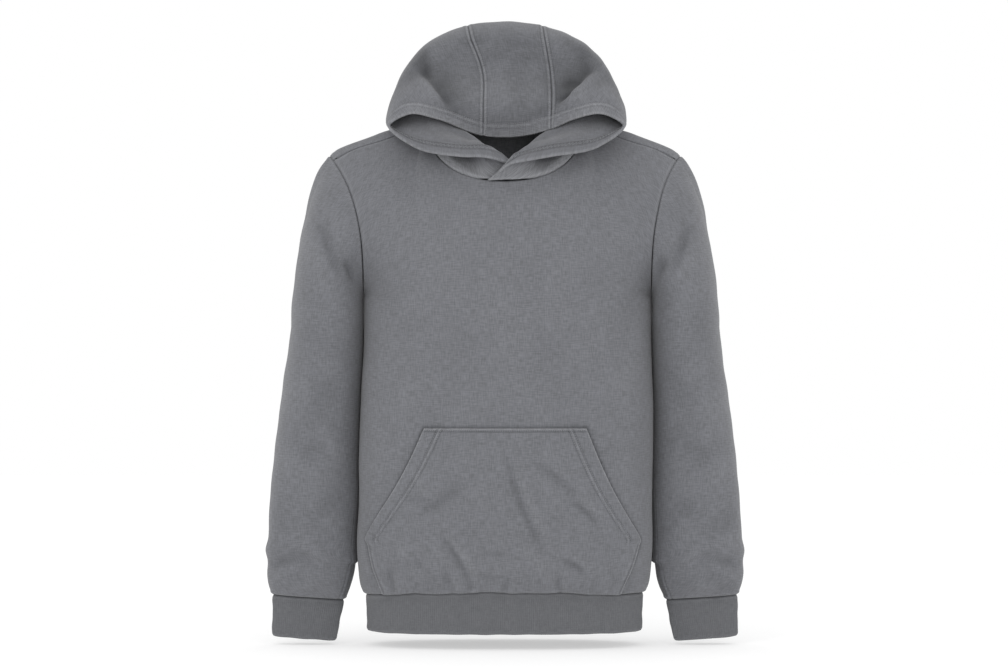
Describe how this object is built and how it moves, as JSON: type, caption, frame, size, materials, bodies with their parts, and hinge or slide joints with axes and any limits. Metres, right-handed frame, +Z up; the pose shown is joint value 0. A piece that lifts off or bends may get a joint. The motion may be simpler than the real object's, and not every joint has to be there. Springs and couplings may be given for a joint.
{
  "type": "pullover hoodie",
  "caption": "Pullover hoodie in washed grey fleece, filled out and hollow, with a raised empty hood, kangaroo pocket, ribbed cuffs and hem band.",
  "frame": {"origin": "midway between the shoulders at the height of the neck, inside the neck opening", "axes": "+Z up towards the hood, -Y the way the garment faces, +X towards the right sleeve as seen from the front"},
  "size_m": [0.6674, 0.2494, 0.8658],
  "materials": {
    "fleece": "garment-washed brushed-back fleece, matt, faded along raised seam edges",
    "rib_knit": "fine rib knit, matt, slightly darker than the fleece",
    "thread": "tone-on-tone polyester sewing thread"
  },
  "bodies": {
    "root": {"front": "fleece", "back": "fleece", "pocket": "fleece", "hem_rib": "rib_knit", "sleeve_left": "fleece", "cuff_left": "rib_knit", "hood_side_left": "fleece", "sleeve_right": "fleece", "cuff_right": "rib_knit", "hood_side_right": "fleece", "hood_centre": "fleece"}
  },
  "joints": []
}
